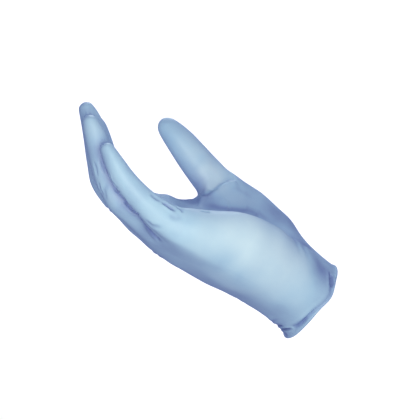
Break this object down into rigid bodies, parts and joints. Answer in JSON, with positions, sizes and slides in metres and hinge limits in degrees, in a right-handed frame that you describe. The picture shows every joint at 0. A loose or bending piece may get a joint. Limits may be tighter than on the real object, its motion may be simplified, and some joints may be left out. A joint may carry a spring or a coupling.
{
  "type": "exam glove",
  "caption": "Thin dipped film covering for a right hand, in its worn form with curled fingers and a lifted thumb, open at a cuff with a rolled edge.",
  "frame": {"origin": "centre of the cuff's mouth, where a wrist leaves the glove", "axes": "+X out of the cuff along the wrist, fingers towards -X, +Y towards the thumb's side, +Z out of the palm"},
  "size_m": [0.2195, 0.1156, 0.1002],
  "materials": {
    "film": "satin, thin smooth nitrile film"
  },
  "bodies": {
    "root": {"glove_film": "film"}
  },
  "joints": []
}
